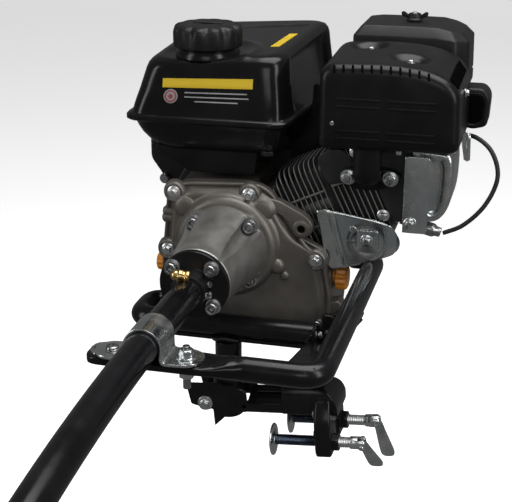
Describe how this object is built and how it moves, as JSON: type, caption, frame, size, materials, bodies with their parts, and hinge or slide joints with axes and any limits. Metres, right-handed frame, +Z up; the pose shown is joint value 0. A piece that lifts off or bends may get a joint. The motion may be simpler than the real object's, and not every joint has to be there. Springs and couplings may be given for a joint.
{
  "type": "long-tail outboard motor",
  "caption": "Petrol engine on a tube frame that steers and tilts on a transom clamp, driving a propeller through a long curved shaft tube.",
  "frame": {"origin": "centre of the underside of the transom bracket's beam, where it rests on the boat's transom", "axes": "+Z up with the motor upright, +Y from the propeller towards the recoil starter, +X from the transom towards the inside of the boat, the side the cylinder leans to"},
  "size_m": [0.4245, 1.7536, 0.6212],
  "materials": {
    "gloss_black": "gloss black enamel",
    "satin_black": "satin black paint",
    "black_plastic": "fine-grained black plastic",
    "casting": "die-cast, lightly grey painted",
    "bright_casting": "turned and satin",
    "dark_casting": "black coated, fin edges bright",
    "zinc": "zinc plated",
    "steel": "bare steel",
    "brass": "polished",
    "orange_plastic": "moulded amber plastic",
    "rubber": "matt black"
  },
  "bodies": {
    "transom bracket": {"transom_bracket": "gloss_black", "tilt_bolt": "steel"},
    "swivel": {"swivel_block": "gloss_black"},
    "motor": {"crankcase": "casting", "crankcase_cover": "casting", "cylinder_barrel": "dark_casting", "cylinder_head": "dark_casting", "valve_cover": "zinc", "blower_housing": "satin_black", "recoil_cover": "satin_black", "fuel_tank": "gloss_black", "carburettor": "casting", "air_cleaner_case": "black_plastic", "air_cleaner_cover": "black_plastic", "intake_snorkel": "black_plastic", "muffler_shield": "satin_black", "muffler": "steel", "exhaust_elbow": "satin_black", "head_strip": "zinc", "lower_shroud": "zinc", "spark_plug_cap": "steel", "ignition_lead": "rubber", "bell_housing": "bright_casting", "bell_screw_1": "steel", "bell_screw_2": "steel", "bell_screw_3": "steel", "bell_screw_4": "steel", "tube_flange": "satin_black", "grease_fitting": "brass", "shaft_tube": "gloss_black", "drive_shaft": "steel", "propeller_bearing": "satin_black", "skeg": "satin_black", "anti_ventilation_plate": "satin_black", "frame_rail": "gloss_black", "engine_bed": "gloss_black", "steering_post": "gloss_black", "tube_strap": "zinc", "strap_bolt_left": "zinc", "strap_bolt_right": "zinc"},
    "rotor": {"crankshaft": "steel", "flywheel": "dark_casting", "clutch_drum": "steel"},
    "piston": {"piston": "bright_casting"},
    "propeller": {"propeller": "steel"},
    "fuel cap": {"fuel_cap": "black_plastic"},
    "wing nut": {"wing_nut": "black_plastic"},
    "throttle": {"throttle_lever": "zinc"},
    "choke": {"choke_lever": "black_plastic"},
    "fuel cock": {"fuel_cock_lever": "black_plastic"},
    "stop switch": {"stop_switch": "steel"},
    "left dipstick": {"dipstick_left": "orange_plastic"},
    "right dipstick": {"dipstick_right": "orange_plastic"},
    "recoil grip": {"recoil_grip": "rubber"},
    "near pad": {"clamp_pad_near": "zinc"},
    "near screw": {"clamp_screw_near": "zinc"},
    "near handle": {"clamp_handle_near": "zinc"},
    "far pad": {"clamp_pad_far": "zinc"},
    "far screw": {"clamp_screw_far": "zinc"},
    "far handle": {"clamp_handle_far": "zinc"}
  },
  "joints": [
    {"name": "tilt", "type": "hinge", "parent": "transom bracket", "child": "swivel", "pos_m": [-0.08871, 0, 0.00428], "axis": [0, 1, 0], "range_deg": [-35, 15]},
    {"name": "steer", "type": "hinge", "parent": "swivel", "child": "motor", "pos_m": [-0.06771, 0, 0.03878], "axis": [0, 0, 1], "range_deg": [-180, 20]},
    {"name": "crank spin", "type": "hinge", "parent": "motor", "child": "rotor", "pos_m": [-0.07171, 0.003, 0.18878], "axis": [0, -1, 0], "continuous": true},
    {"name": "propeller spin", "type": "hinge", "parent": "motor", "child": "propeller", "pos_m": [-0.07171, -1.33063, -0.04194], "axis": [0, -0.9613, -0.2756], "continuous": true},
    {"name": "piston stroke", "type": "slide", "parent": "motor", "child": "piston", "axis": [0.9063, 0, 0.4226], "range_m": [-0.05, 0.004]},
    {"name": "fuel cap turn", "type": "hinge", "parent": "motor", "child": "fuel cap", "pos_m": [-0.10671, 0.063, 0.41078], "axis": [0, 0, 1], "range_deg": [0, 90]},
    {"name": "wing nut turn", "type": "hinge", "parent": "motor", "child": "wing nut", "pos_m": [0.11229, 0.166, 0.42878], "axis": [0, 0, 1], "range_deg": [0, 720]},
    {"name": "throttle turn", "type": "hinge", "parent": "motor", "child": "throttle", "pos_m": [0.18729, 0.087, 0.31478], "axis": [1, 0, 0], "range_deg": [-15, 20]},
    {"name": "choke turn", "type": "hinge", "parent": "motor", "child": "choke", "pos_m": [0.12229, 0.155, 0.31878], "axis": [1, 0, 0], "range_deg": [-60, 10]},
    {"name": "fuel cock turn", "type": "hinge", "parent": "motor", "child": "fuel cock", "pos_m": [0.06629, 0.153, 0.31978], "axis": [1, 0, 0], "range_deg": [0, 90]},
    {"name": "stop switch turn", "type": "hinge", "parent": "motor", "child": "stop switch", "pos_m": [-0.17971, 0.113, 0.23078], "axis": [0, 1, 0], "range_deg": [0, 60]},
    {"name": "left dipstick turn", "type": "hinge", "parent": "motor", "child": "left dipstick", "pos_m": [-0.15971, 0.047, 0.14878], "axis": [1, 0, 0], "range_deg": [0, 720]},
    {"name": "right dipstick turn", "type": "hinge", "parent": "motor", "child": "right dipstick", "pos_m": [0.05629, 0.047, 0.14878], "axis": [1, 0, 0], "range_deg": [0, 720]},
    {"name": "recoil pull", "type": "slide", "parent": "motor", "child": "recoil grip", "axis": [-1, 0, 0], "range_m": [0, 0.5]},
    {"name": "near pad slide", "type": "slide", "parent": "transom bracket", "child": "near pad", "axis": [0.9962, 0, 0.0872], "range_m": [-0.012, 0.03]},
    {"name": "near screw turn", "type": "hinge", "parent": "near pad", "child": "near screw", "pos_m": [-0.00726, -0.028, -0.03175], "axis": [0.9962, 0, 0.0872], "range_deg": [-2160, 5400]},
    {"name": "near handle fold", "type": "hinge", "parent": "near screw", "child": "near handle", "pos_m": [0.09834, -0.028, -0.02252], "axis": [-0.0418, 0.8776, 0.4776], "range_deg": [-75, 0]},
    {"name": "far pad slide", "type": "slide", "parent": "transom bracket", "child": "far pad", "axis": [0.9962, 0, 0.0872], "range_m": [-0.012, 0.03]},
    {"name": "far screw turn", "type": "hinge", "parent": "far pad", "child": "far screw", "pos_m": [0.00071, 0.028, -0.03106], "axis": [0.9962, 0, 0.0872], "range_deg": [-2160, 5400]},
    {"name": "far handle fold", "type": "hinge", "parent": "far screw", "child": "far handle", "pos_m": [0.10631, 0.028, -0.02182], "axis": [0, 1, 0], "range_deg": [-75, 0]}
  ],
  "couplings": [
    {"joint": "propeller spin", "follows": "crank spin", "ratio": 1},
    {"joint": "near screw turn", "follows": "near pad slide", "rad_per_m": 3141},
    {"joint": "far screw turn", "follows": "far pad slide", "rad_per_m": 3141}
  ]
}
